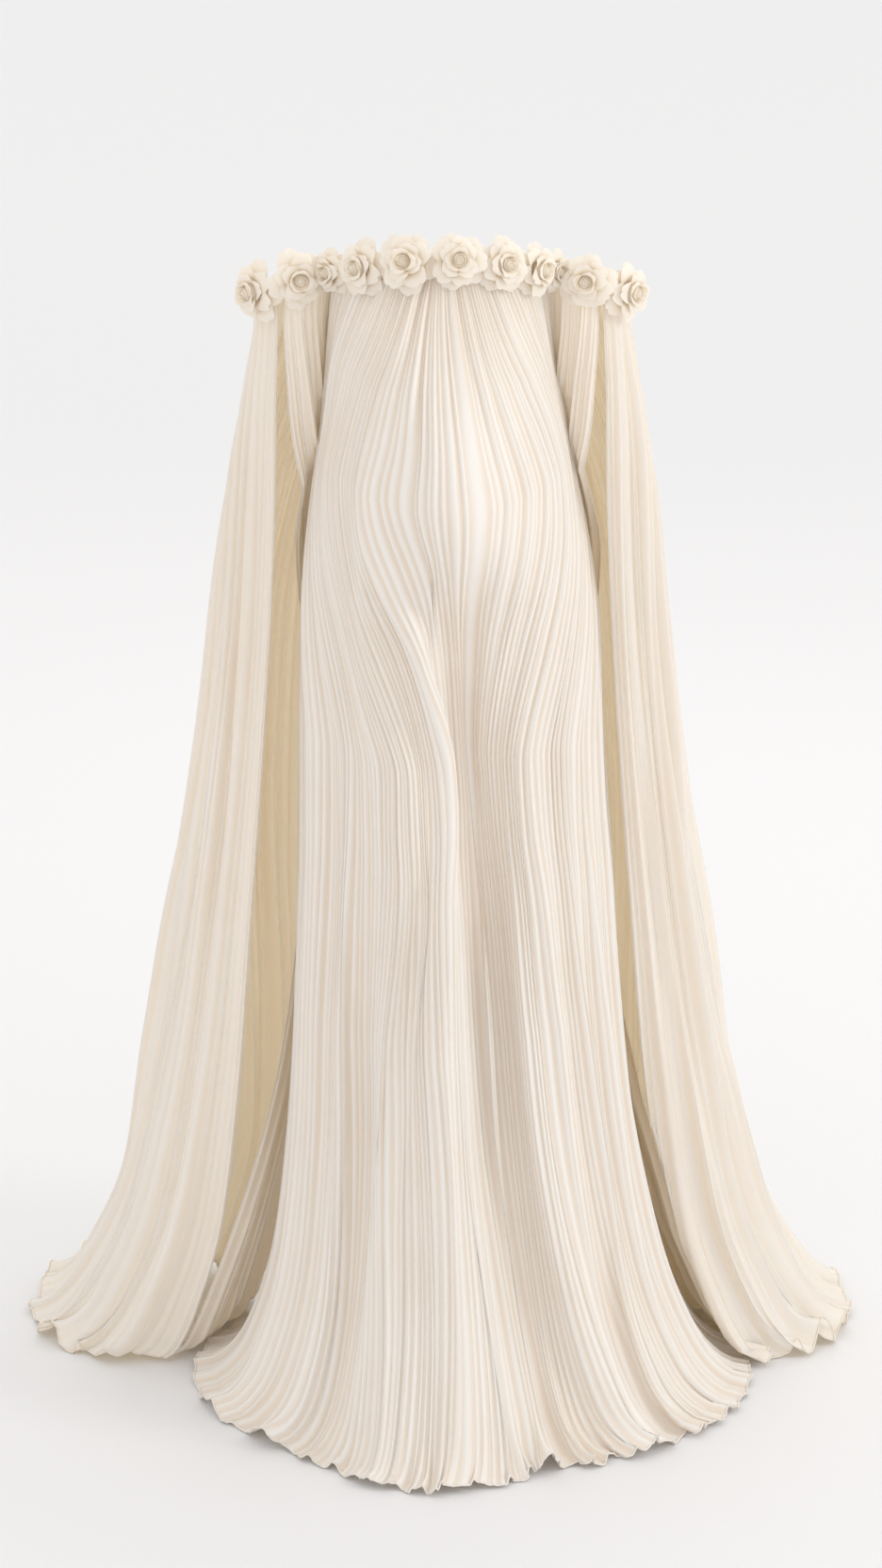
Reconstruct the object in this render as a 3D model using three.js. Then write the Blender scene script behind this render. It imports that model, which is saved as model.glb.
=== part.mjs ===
// An off-shoulder maternity gown in fine-pleated cloth, hollow, as it hangs when worn.
// Front and back are each cut in one length from the neckline to a hem that spills onto the floor.
// Two cape sleeves hang from arm bands and are slit down the front, and a row of fabric roses covers the bands.
// Millimetres, +Z up, front towards -Y. The origin is the middle of the neckline, where the gown is held.
import * as THREE from "three";

// Driving sizes
const neckHeight = 1431; // middle of the band above the floor, at the centre front
const clothThick = 2; // wall of the cloth, along the surface's own direction
const seamGap = 0.3; // between pieces that are sewn together
const bandTall = 15;
const bandThick = 2.6;
const roseRadius = 27; // of a rose of size 1

// Pleats counted across each piece, and the depth of one pleat from crest to valley
const frontPleats = 52;
const backPleats = 32;
const sleeveInnerPleats = 9;
const sleeveOuterPleats = 15;
const gatheredDepth = 1.6; // pressed into the band at the top
const hangingDepth = 4.2; // where the cloth hangs free

// Turns lines of numbers into rows with named columns.
function table(names, ...rows) {
  const columns = names.split(" ");
  return rows.map((row) => Object.fromEntries(columns.map((name, i) => [name, row[i]])));
}

// Sections of the gown's body from the neckline to the hem, row by row.
// height is above the floor at the side seams, and rise is how much higher the centre front is and
// how much lower, nearly, the centre back.
// left, right, front and back are the reaches from the middle. spread fans the pleats over the belly.
// drift moves them sideways, lower down. leg is the cloth pushed out by the forward leg. dip, edge,
// knee and side are the lines and depths of four creases. fold is the depth of the soft folds, and
// wave that of the ruffled hem.
const gownSections = table(
  "height rise left right front back spread drift legAt legOut legWide " +
    "dipAt dipIn edgeAt edgeIn kneeAt kneeIn sideAt sideIn fold wave",
  [1389, 33, 128, 128, 118, 100, 0.0, 0.0, -55, 0, 48, 10, 0, -30, 0, -24, 0, 120, 0, 0, 0],
  [1345, 25, 130, 128, 129, 103, 0.22, 0.0, -55, 0, 48, 10, 0, -46, 3, -24, 0, 120, 0, 0.5, 0],
  [1290, 15, 133, 132, 143, 106, 0.5, 0.0, -55, 0, 48, 10, 0, -74, 7, -24, 0, 120, 0, 1, 0],
  [1232, 6, 138, 143, 148, 108, 0.72, 0.0, -52, 0, 60, 10, 0, -92, 14, -24, 0, 120, 0, 1.2, 0],
  [1172, 0, 145, 153, 151, 111, 0.84, 0.0, -52, 0, 60, 10, 0, -99, 18, -24, 0, 124, 0, 1.2, 0],
  [1112, 0, 152, 164, 154, 116, 0.8, 0.005, -52, 3, 60, 10, 5, -103, 17, -24, 0, 128, 0, 1.5, 0],
  [1050, 0, 158, 175, 157, 121, 0.6, 0.01, -50, 14, 64, 10, 16, -105, 14, -24, 0, 132, 0, 2, 0],
  [975, 0, 163, 184, 157, 126, 0.32, 0.018, -46, 27, 68, 12, 34, -107, 12, -24, 0, 136, 0, 3, 0],
  [870, 0, 165, 189, 154, 133, 0.08, 0.026, -42, 38, 70, 18, 50, -108, 12, -24, 0, 140, 0, 4, 0],
  [760, 0, 166, 195, 153, 141, 0.0, 0.032, -38, 44, 68, 29, 54, -108, 13, -24, 0, 145, 2, 5, 0],
  [670, 0, 167, 202, 155, 149, 0.0, 0.036, -32, 48, 64, 38, 54, -109, 13, -31, 10, 150, 5, 5.5, 0],
  [520, 0, 173, 212, 162, 164, 0.0, 0.044, -22, 45, 64, 49, 53, -110, 14, -55, 22, 166, 9, 6.5, 0],
  [340, 0, 183, 232, 178, 188, 0.0, 0.055, -20, 44, 76, 60, 50, -113, 16, -73, 24, 192, 14, 8, 0],
  [170, 0, 203, 268, 208, 222, 0.0, 0.064, -26, 48, 94, 82, 44, -124, 18, -98, 22, 212, 18, 9, 1],
  [66, 0, 235, 310, 246, 258, 0.0, 0.07, -31, 52, 108, 104, 32, -142, 14, -118, 16, 236, 14, 8, 3],
  [20, 0, 268, 346, 268, 288, 0.0, 0.074, -34, 54, 116, 118, 16, -165, 8, -135, 8, 258, 8, 5, 7],
  [8, 0, 301, 378, 284, 310, 0.0, 0.076, -36, 55, 122, 126, 9, -185, 4, -150, 5, 272, 4, 3, 10],
);

// Sections of one sleeve, for the side at +X. Each is a ring about a centre, open at the front slit.
// inner and outer are the angles of the slit's two edges, in degrees from +X, counted anticlockwise.
// tilt is how much lower the outer side is than the inner one, and lean how much lower the rear is than
// the front. Beside the gown the ring gives way to it.
const sleeveSections = table(
  "height tilt lean atX atY halfWide halfDeep inner outer fold wave",
  [1383, 34, 22, 170.9, 3, 40, 52, 283, 292, 0, 0],
  [1336, 22, 14, 175, 4, 38, 54, 276, 288, 1, 0],
  [1270, 8, 5, 181, 9, 42, 60, 262, 281, 3, 0],
  [1195, 0, 0, 190, 20, 47, 67, 243, 270, 4, 0],
  [1110, 0, 0, 199, 38, 51, 77, 214, 262, 5, 0],
  [980, 0, 0, 210, 60, 55, 88, 190, 257, 6, 0],
  [820, 0, 0, 222, 82, 62, 100, 184, 257, 7, 0],
  [620, 0, 0, 239, 106, 74, 114, 188, 258, 8, 0],
  [400, 0, 0, 263, 136, 87, 134, 214, 255, 9, 0],
  [200, 0, 0, 296, 164, 98, 150, 239, 251, 10, 2],
  [80, 0, 0, 336, 184, 112, 158, 245, 249, 9, 6],
  [22, 0, 0, 364, 194, 124, 161, 246, 249, 6, 9],
  [8, 0, 0, 382, 199, 132, 164, 247, 249, 3, 11],
);

// Soft mounds that push the front forward, or in where out is below nought: the belly, the hollow
// under its right side, the knee, and the bust
const mounds = table(
  "atX height out wide above below power",
  [10, 1192, 108, 105, 152, 132, 2.7],
  [-50, 1098, -16, 40, 46, 50, 2],
  [-6, 668, 12, 34, 120, 60, 2],
  [-60, 1345, 13, 44, 40, 60, 2.2],
  [62, 1345, 13, 44, 40, 60, 2.2],
);

// Lengthwise creases in the front, each down a line of the table: the long hollow beside the knee, the
// fold past the belly's right side, the fold under the knee, and one low down on the left.
// Each sinks steeply on one side and gently on the other, and draws pleats in from as far as its reach.
const creases = [
  { at: "dipAt", depth: "dipIn", leftWide: 13, rightWide: 40, reach: 80 },
  { at: "edgeAt", depth: "edgeIn", leftWide: 40, rightWide: 10, reach: 36 },
  { at: "kneeAt", depth: "kneeIn", leftWide: 34, rightWide: 11, reach: 36 },
  { at: "sideAt", depth: "sideIn", leftWide: 11, rightWide: 40, reach: 40 },
];

// Roses: the ring each sits on, its angle there in degrees, its size, its turn, how far it looks up,
// and how far it looks aside, from the band's own direction towards the front
const roses = table(
  "ring angle size turn lookUp aside",
  ["rightArm", 221, 0.98, 10, 4, 12],
  ["rightArm", 279, 0.9, 48, 6, 0],
  ["torso", 205, 0.68, 95, 2, 24],
  ["torso", 230.5, 0.92, 20, 9, 0],
  ["torso", 254, 1.0, 64, 18, 0],
  ["torso", 277.6, 0.97, 33, 20, 0],
  ["torso", 300, 0.92, 80, 15, 0],
  ["torso", 320.5, 0.82, 12, 6, 0],
  ["torso", 339, 0.54, 55, 2, 22],
  ["leftArm", 264, 0.9, 5, 5, 0],
  ["leftArm", 321, 0.97, 70, 3, 12],
);

const degrees = Math.PI / 180;
const lerp = THREE.MathUtils.lerp;
const clamp01 = (t) => Math.min(1, Math.max(0, t));

// The row at a place s between the table's rows, where every column follows a smooth curve.
function sectionAt(rows, s) {
  const i = Math.min(Math.floor(s), rows.length - 2);
  const t = s - i;
  const near = [-1, 0, 1, 2].map((k) => rows[Math.min(Math.max(i + k, 0), rows.length - 1)]);
  const made = {};
  for (const name of Object.keys(rows[0])) {
    const [a, b, c, d] = near.map((row) => row[name]);
    made[name] =
      b + 0.5 * t * (c - a + t * (2 * a - 5 * b + 4 * c - d + t * (3 * (b - c) + d - a)));
  }
  return made;
}

// A soft hump, 1 at its middle
const hump = (distance, width, power = 2) => Math.exp(-Math.pow(Math.abs(distance) / width, power));

// How far the mounds push the front out at a place
function moundAt(x, height) {
  let out = 0;
  for (const m of mounds) {
    const upDown = height > m.height ? m.above : m.below;
    out += m.out * hump(x - m.atX, m.wide, m.power) * hump(height - m.height, upDown, m.power);
  }
  return out;
}

// Soft folds, as two waves of different length across a piece
function softFold(across, long, short, phase) {
  return 0.6 * Math.sin(2 * Math.PI * long * across + phase) +
    0.4 * Math.sin(2 * Math.PI * short * across + 2.1 * phase);
}

// Lets folds fade out at the sides of a piece, so that its seams stay straight
const seamFade = (across) => Math.sin(Math.PI * clamp01(across)) ** 0.6;

// A point of the gown's front. across runs from 0 at the -X side seam to 1 at the +X one.
function frontPoint(across, s) {
  const c = sectionAt(gownSections, s);
  const place =
    across - (c.spread * Math.sin(2 * Math.PI * across)) / (2 * Math.PI) +
    c.drift * Math.sin(Math.PI * across);
  const fade = seamFade(across);
  const middle = (c.right - c.left) / 2;
  const halfWide = (c.left + c.right) / 2;
  let x = middle - halfWide * Math.cos(Math.PI * clamp01(place));
  for (const { at, depth, reach } of creases) {
    const drawnIn = (0.75 * c[depth]) / (c[depth] + 12);
    x -= fade * drawnIn * (x - c[at]) * hump(x - c[at], reach);
  }
  const facing = Math.sqrt(Math.max(0, 1 - ((x - middle) / halfWide) ** 2));
  const height = c.height + c.rise * facing ** 2;
  let out = moundAt(x, height) + c.legOut * hump(x - c.legAt, c.legWide, 2.4) +
    c.fold * softFold(across, 6.5, 10.7, 0.8);
  for (const { at, depth, leftWide, rightWide } of creases) {
    out -= c[depth] * hump(x - c[at], x < c[at] ? leftWide : rightWide);
  }
  const ruffle = c.wave * Math.sin(2 * Math.PI * 16.5 * across + 1.3 * Math.sin(9 * across));
  return new THREE.Vector3(
    x * (1 + (0.5 * ruffle * fade) / halfWide),
    -c.front * facing - (out * fade + 0.5 * ruffle) * facing ** 0.5,
    height + 0.5 * fade * (ruffle + c.wave),
  );
}

// A point of the gown's back. across runs from 0 at the +X side seam to 1 at the -X one.
function backPoint(across, s) {
  const c = sectionAt(gownSections, s);
  const turn = Math.PI * across;
  const halfWide = (c.left + c.right) / 2;
  const facing = Math.max(0, Math.sin(turn));
  const fade = seamFade(across);
  const out = c.fold * 1.3 * softFold(across, 5.5, 8.5, 2.2);
  const ruffle = c.wave * Math.sin(2 * Math.PI * 13.5 * across + 1.1 * Math.sin(8 * across));
  return new THREE.Vector3(
    (c.right - c.left) / 2 + halfWide * Math.cos(turn) * (1 + (0.5 * ruffle * fade) / halfWide),
    c.back * facing + (out * fade + 0.5 * ruffle) * facing ** 0.5,
    c.height - 0.9 * c.rise * facing ** 2 + 0.5 * fade * (ruffle + c.wave),
  );
}

// A point of a sleeve, from 0 at the slit's inner edge, round the back, to 1 at its outer edge.
function sleevePoint(side, across, s) {
  const c = sectionAt(sleeveSections, s);
  const turn = degrees * (c.inner - across * (360 - (c.outer - c.inner)));
  const fade = seamFade(across);
  const out = c.fold * fade * softFold(across, 5.2, 8.4, side > 0 ? 0.4 : 1.5);
  const ruffle = c.wave * fade * Math.sin(2 * Math.PI * 12 * across + Math.sin(7 * across));
  const grow = 1 + (out + 0.5 * ruffle) / c.halfDeep;
  const outwards = Math.cos(turn);
  return clearOfGown(
    new THREE.Vector3(
      side * (c.atX + c.halfWide * grow * outwards),
      c.atY + c.halfDeep * grow * Math.sin(turn),
      c.height - (c.tilt * outwards) / 2 - (c.lean * (1 + Math.sin(turn))) / 2 +
        0.5 * (ruffle + c.wave * fade),
    ),
    c.height,
  );
}

// Moves a point of a sleeve out of the gown's body, to lie beside it
function clearOfGown(point, height) {
  let row = gownSections.findIndex((c) => c.height <= height);
  if (row < 1) row = height >= gownSections[0].height ? 1 : gownSections.length - 1;
  const [above, below] = [gownSections[row - 1], gownSections[row]];
  const t = clamp01((above.height - height) / (above.height - below.height));
  const c = {};
  for (const name of Object.keys(above)) c[name] = lerp(above[name], below[name], t);
  const room = lerp(2.5, 7.4 + 1.6 * c.fold + 1.25 * c.wave, clamp01((1385 - height) / 60));
  const middle = (c.right - c.left) / 2;
  const wide = (c.left + c.right) / 2 + room;
  const deep = (point.y < 0 ? c.front : c.back) + room;
  const away = Math.hypot((point.x - middle) / wide, point.y / deep);
  const settled = away < 1 ? 1 : away;
  point.x = middle + ((point.x - middle) * settled) / away;
  point.y *= settled / away;
  return point;
}

// The outward direction of a surface at a place, from its neighbours
function directionAt(point, across, s, lastRow) {
  const da = 0.004;
  const ds = 0.05;
  const along = point(Math.min(1, across + da), s).sub(point(Math.max(0, across - da), s));
  const down = point(across, Math.min(lastRow, s + ds)).sub(point(across, Math.max(0, s - ds)));
  return down.cross(along).normalize();
}

// Makes a closed mesh from rings of points: rings[j][i], joined round i if closed, with caps or ends.
class Skin {
  constructor() {
    this.points = [];
    this.faces = [];
  }
  add(point) {
    this.points.push(point.x, point.y, point.z);
    return this.points.length / 3 - 1;
  }
  quad(a, b, c, d) {
    this.faces.push(a, b, c, a, c, d);
  }
  geometry() {
    const made = new THREE.BufferGeometry();
    made.setAttribute("position", new THREE.Float32BufferAttribute(this.points, 3));
    made.setIndex(this.faces);
    made.computeVertexNormals();
    return made;
  }
}

// A wall of cloth over rows and columns of a surface. Every second column is a crest, no higher than
// the room between columns allows.
// outwards is 1 or -1, whichever way round the surface runs, and trim may settle each point.
function clothWall(point, { from, to, pleats, rows, lastRow, outwards, trim, tightRows }) {
  const skin = new Skin();
  const columns = 2 * pleats;
  const step = (to - from) / columns;
  const outer = [];
  const inner = [];
  rows.forEach((s) => {
    const ease = clamp01(s / tightRows);
    const depth = lerp(gatheredDepth, hangingDepth, ease);
    const outerRow = [];
    const innerRow = [];
    for (let i = 0; i <= columns; i++) {
      const across = lerp(from, to, i / columns);
      const base = point(across, s);
      const away = directionAt(point, across, s, lastRow).multiplyScalar(outwards);
      const room = base.distanceTo(point(across + (i ? -1 : 1) * step, s));
      const reached = Math.min(depth, 1.2 * room) / 2;
      const crest = i % 2 ? reached : -reached;
      for (const [list, reach] of [[outerRow, crest], [innerRow, crest - clothThick]]) {
        const placed = base.clone().addScaledVector(away, reach);
        if (s === 0) placed.z = base.z;
        placed.z -= neckHeight;
        if (trim) trim(placed, i, columns);
        list.push(skin.add(placed));
      }
    }
    outer.push(outerRow);
    inner.push(innerRow);
  });
  const last = rows.length - 1;
  for (let j = 0; j < last; j++) {
    for (let i = 0; i < columns; i++) {
      quadFacing(skin, outwards, outer[j][i], outer[j][i + 1], outer[j + 1][i + 1], outer[j + 1][i]);
      quadFacing(skin, outwards, inner[j][i], inner[j + 1][i], inner[j + 1][i + 1], inner[j][i + 1]);
    }
    quadFacing(skin, outwards, outer[j][0], outer[j + 1][0], inner[j + 1][0], inner[j][0]);
    const k = columns;
    quadFacing(skin, outwards, outer[j][k], inner[j][k], inner[j + 1][k], outer[j + 1][k]);
  }
  for (let i = 0; i < columns; i++) {
    quadFacing(skin, outwards, outer[0][i], inner[0][i], inner[0][i + 1], outer[0][i + 1]);
    const a = outer[last];
    const b = inner[last];
    quadFacing(skin, outwards, a[i], a[i + 1], b[i + 1], b[i]);
  }
  return skin.geometry();
}

// A quad turned so that it faces out of a wall that runs either way round
function quadFacing(skin, outwards, a, b, c, d) {
  if (outwards > 0) skin.quad(a, d, c, b);
  else skin.quad(a, b, c, d);
}

// A strap along a path of { at, away, up }, with a flat section, closed or with two ends
function strap(path, closed) {
  const skin = new Skin();
  const corners = path.map(({ at, away }) =>
    [[1, 0], [1, 1], [0, 1], [0, 0]].map(([out, up]) =>
      skin.add(
        at.clone()
          .addScaledVector(away, (out - 0.5) * bandThick)
          .add(new THREE.Vector3(0, 0, seamGap + up * bandTall - neckHeight)),
      ),
    ),
  );
  const steps = closed ? path.length : path.length - 1;
  for (let i = 0; i < steps; i++) {
    const a = corners[i];
    const b = corners[(i + 1) % path.length];
    for (let k = 0; k < 4; k++) skin.quad(a[k], b[k], b[(k + 1) % 4], a[(k + 1) % 4]);
  }
  if (!closed) {
    const first = corners[0];
    const end = corners[corners.length - 1];
    skin.quad(first[0], first[1], first[2], first[3]);
    skin.quad(end[3], end[2], end[1], end[0]);
  }
  return skin.geometry();
}

// The line on which the bands stand: a ring's point and its outward direction at an angle
function ringPlace(ring, angle) {
  const turn = angle * degrees;
  const outwards = new THREE.Vector3(Math.cos(turn), Math.sin(turn), 0);
  if (ring === "torso") {
    const c = gownSections[0];
    const deep = Math.sin(turn) < 0 ? c.front : c.back;
    const rise = Math.sin(turn) < 0 ? c.rise : -0.9 * c.rise;
    const at = new THREE.Vector3(
      c.left * Math.cos(turn),
      deep * Math.sin(turn),
      c.height + rise * Math.sin(turn) ** 2,
    );
    const away = new THREE.Vector3(outwards.x / c.left, outwards.y / deep, 0).normalize();
    return { at, away };
  }
  const side = ring === "leftArm" ? 1 : -1;
  const c = sleeveSections[0];
  const at = new THREE.Vector3(
    side * c.atX + c.halfWide * outwards.x,
    c.atY + c.halfDeep * outwards.y,
    c.height - (c.tilt * side * outwards.x) / 2 - (c.lean * (1 + outwards.y)) / 2,
  );
  const away = new THREE.Vector3(outwards.x / c.halfWide, outwards.y / c.halfDeep, 0).normalize();
  return { at, away };
}

// The bands that gather the cloth: front and back over the torso, and a ring round each arm
function band(ring, fromAngle, toAngle, steps) {
  const closed = toAngle - fromAngle === 360;
  const path = [];
  for (let i = 0; i <= steps - (closed ? 1 : 0); i++) {
    const place = ringPlace(ring, lerp(fromAngle, toAngle, i / steps));
    if (!closed && (i === 0 || i === steps)) {
      place.at.y = (Math.sin((fromAngle + toAngle) * 0.5 * degrees) < 0 ? -0.5 : 0.5) * seamGap;
      place.away.y = 0;
    }
    path.push(place);
  }
  return strap(path, closed);
}

// A fabric rose looking along its own +Z, from the middle of its back. Each lip is a round of petals,
// with its share of the radius and height, how many petals it has and how far they are turned.
const roseRounds = table(
  "radius height petals turn scallop",
  [0.24, 0.0, 5, 0, 0],
  [0.56, 0.15, 5, 0, 0.02],
  [0.93, 0.36, 5, 0, 0.08],
  [0.98, 0.47, 5, 0, 0.1],
  [0.68, 0.5, 5, 0, 0.04],
  [0.66, 0.74, 5, 36, 0.08],
  [0.36, 0.56, 3, 36, 0.04],
  [0.33, 0.86, 3, 10, 0.08],
);
const roseColumns = 13;

function rose(size) {
  const radius = roseRadius * size;
  const skin = new Skin();
  const rings = roseRounds.map((round) =>
    Array.from({ length: roseColumns }, (_, i) => {
      const turn = (2 * Math.PI * i) / roseColumns;
      const petal = Math.cos(round.petals * (turn - round.turn * degrees));
      const reach = radius * round.radius * (1 + round.scallop * petal);
      const lift = radius * round.height * (1 + 0.5 * round.scallop * petal);
      return skin.add(new THREE.Vector3(reach * Math.cos(turn), reach * Math.sin(turn), lift));
    }),
  );
  const backMiddle = skin.add(new THREE.Vector3(0, 0, 0));
  const frontMiddle = skin.add(new THREE.Vector3(0, 0, 0.66 * radius));
  for (let i = 0; i < roseColumns; i++) {
    const next = (i + 1) % roseColumns;
    for (let j = 0; j < rings.length - 1; j++) {
      skin.quad(rings[j][i], rings[j][next], rings[j + 1][next], rings[j + 1][i]);
    }
    skin.faces.push(backMiddle, rings[0][next], rings[0][i]);
    skin.faces.push(frontMiddle, rings.at(-1)[i], rings.at(-1)[next]);
  }
  return skin.geometry();
}

const materials = {
  cloth: new THREE.MeshStandardMaterial({ color: 0xf3e9da, roughness: 0.72, metalness: 0 }),
  sleeve: new THREE.MeshStandardMaterial({ color: 0xf2e5d0, roughness: 0.72, metalness: 0 }),
  band: new THREE.MeshStandardMaterial({ color: 0xf1e3cc, roughness: 0.75, metalness: 0 }),
  rose: new THREE.MeshStandardMaterial({ color: 0xf6e8d0, roughness: 0.6, metalness: 0 }),
};

const gown = new THREE.Group();

function addPiece(name, geometry, material) {
  const mesh = new THREE.Mesh(geometry, material.clone());
  mesh.name = name;
  gown.add(mesh);
  return mesh;
}

// Keeps the two side seams in the plane between front and back, half a gap off it
const toSeamPlane = (y) => (placed, i, columns) => {
  if (i === 0 || i === columns) placed.y = y;
  else placed.y = y < 0 ? Math.min(placed.y, y) : Math.max(placed.y, y);
};

const gownLast = gownSections.length - 1;
const gownRows = [0, 1, 2, 3, 4, 5, 6, 7, 8.5, 10, 11, 12, 13, 14, 15, 16];
const backRows = [0, 2, 4, 6, 8, 10, 12, 13, 14, 15, 16];
addPiece(
  "front",
  clothWall(frontPoint, {
    from: 0, to: 1, pleats: frontPleats, rows: gownRows, lastRow: gownLast,
    outwards: 1, trim: toSeamPlane(-seamGap / 2), tightRows: 3,
  }),
  materials.cloth,
);
addPiece(
  "back",
  clothWall(backPoint, {
    from: 0, to: 1, pleats: backPleats, rows: backRows, lastRow: gownLast,
    outwards: 1, trim: toSeamPlane(seamGap / 2), tightRows: 3,
  }),
  materials.cloth,
);

const sleeveRows = sleeveSections.map((_, i) => i);
const sleevePleats = sleeveInnerPleats + sleeveOuterPleats;
const sleeveSeam = sleeveInnerPleats / sleevePleats;
for (const [name, side] of [["right", -1], ["left", 1]]) {
  const point = (across, s) => sleevePoint(side, across, s);
  const shared = { rows: sleeveRows, lastRow: sleeveRows.length - 1, outwards: -side, tightRows: 2 };
  const halfGap = 0.0004; // of the way round a sleeve, at least half a seam gap at the narrow top
  addPiece(
    `sleeve_${name}_inner`,
    clothWall(point, { from: 0, to: sleeveSeam - halfGap, pleats: sleeveInnerPleats, ...shared }),
    materials.sleeve,
  );
  addPiece(
    `sleeve_${name}_outer`,
    clothWall(point, { from: sleeveSeam + halfGap, to: 1, pleats: sleeveOuterPleats, ...shared }),
    materials.sleeve,
  );
}

addPiece("band_front", band("torso", 180, 360, 26), materials.band);
addPiece("band_back", band("torso", 0, 180, 20), materials.band);
addPiece("band_right_arm", band("rightArm", 0, 360, 22), materials.band);
addPiece("band_left_arm", band("leftArm", 0, 360, 22), materials.band);

roses.forEach((r, i) => {
  const { at, away } = ringPlace(r.ring, r.angle);
  const mesh = addPiece(`rose_${String(i + 1).padStart(2, "0")}`, rose(r.size), materials.rose);
  const aside = r.aside * degrees * Math.sign(away.x);
  const look = away.clone().applyAxisAngle(new THREE.Vector3(0, 0, 1), -aside);
  look.z = Math.tan(r.lookUp * degrees);
  const tipped = look.angleTo(away);
  const seat = roseRounds[0].radius * roseRadius * r.size * Math.sin(tipped);
  mesh.position.copy(at).addScaledVector(away, bandThick / 2 + seamGap + seat);
  mesh.position.z += seamGap + bandTall / 2 - neckHeight;
  mesh.quaternion.setFromUnitVectors(new THREE.Vector3(0, 0, 1), look.normalize());
  mesh.rotateZ(r.turn * degrees);
});

export default gown;
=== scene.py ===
import math

import bpy
import numpy as np
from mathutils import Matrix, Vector


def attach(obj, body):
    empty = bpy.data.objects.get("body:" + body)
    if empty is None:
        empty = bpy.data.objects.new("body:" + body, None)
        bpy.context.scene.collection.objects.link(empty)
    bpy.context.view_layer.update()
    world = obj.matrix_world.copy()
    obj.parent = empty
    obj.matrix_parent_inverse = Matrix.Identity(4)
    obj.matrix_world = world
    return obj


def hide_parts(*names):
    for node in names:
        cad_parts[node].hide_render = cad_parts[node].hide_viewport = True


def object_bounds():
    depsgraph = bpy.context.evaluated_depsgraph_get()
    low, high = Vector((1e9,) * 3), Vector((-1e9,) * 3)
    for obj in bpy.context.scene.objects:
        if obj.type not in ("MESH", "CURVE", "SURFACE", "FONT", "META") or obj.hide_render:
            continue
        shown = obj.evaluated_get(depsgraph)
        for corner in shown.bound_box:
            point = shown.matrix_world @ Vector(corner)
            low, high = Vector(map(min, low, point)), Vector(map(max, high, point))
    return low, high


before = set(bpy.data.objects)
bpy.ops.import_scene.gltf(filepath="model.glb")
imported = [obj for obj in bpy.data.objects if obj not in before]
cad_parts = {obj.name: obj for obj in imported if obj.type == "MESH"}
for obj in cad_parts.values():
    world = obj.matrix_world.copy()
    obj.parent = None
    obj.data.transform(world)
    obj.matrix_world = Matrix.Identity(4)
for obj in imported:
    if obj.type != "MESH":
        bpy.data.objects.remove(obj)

cadBox = [list(map(float, corner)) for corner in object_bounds()]
# In metres: the neckline over the floor, the gap at each seam, and the bands' half height
neckHeight = 1.431
seamGap = 0.0003
bandHalf = 0.0075
floorZ = cadBox[0][2] - 0.0015

# Camera, as fitted to the photograph: its height over the floor and its distance before the gown in metres,
# its tilt in degrees, and its focal length and the picture's height in the photograph's pixels
seen = {"height": 2.98, "before": 6.39, "tilt": 19.09, "focal": 6086, "pictureHigh": 1664, "sensor": 36}
camera = bpy.data.objects.new("camera", bpy.data.cameras.new("camera"))
bpy.context.scene.collection.objects.link(camera)
camera.location = (0.0, -seen["before"], seen["height"] - neckHeight)
camera.rotation_euler = (math.radians(90 - seen["tilt"]), 0, 0)
camera.data.sensor_width = seen["sensor"]
camera.data.lens = seen["sensor"] * seen["focal"] / seen["pictureHigh"]
bpy.context.scene.camera = camera


# Lines of numbers as a dictionary of named columns
def table(names, *rows):
    values = np.array(rows, dtype=float)
    return {name: values[:, i] for i, name in enumerate(names.split())}


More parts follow.
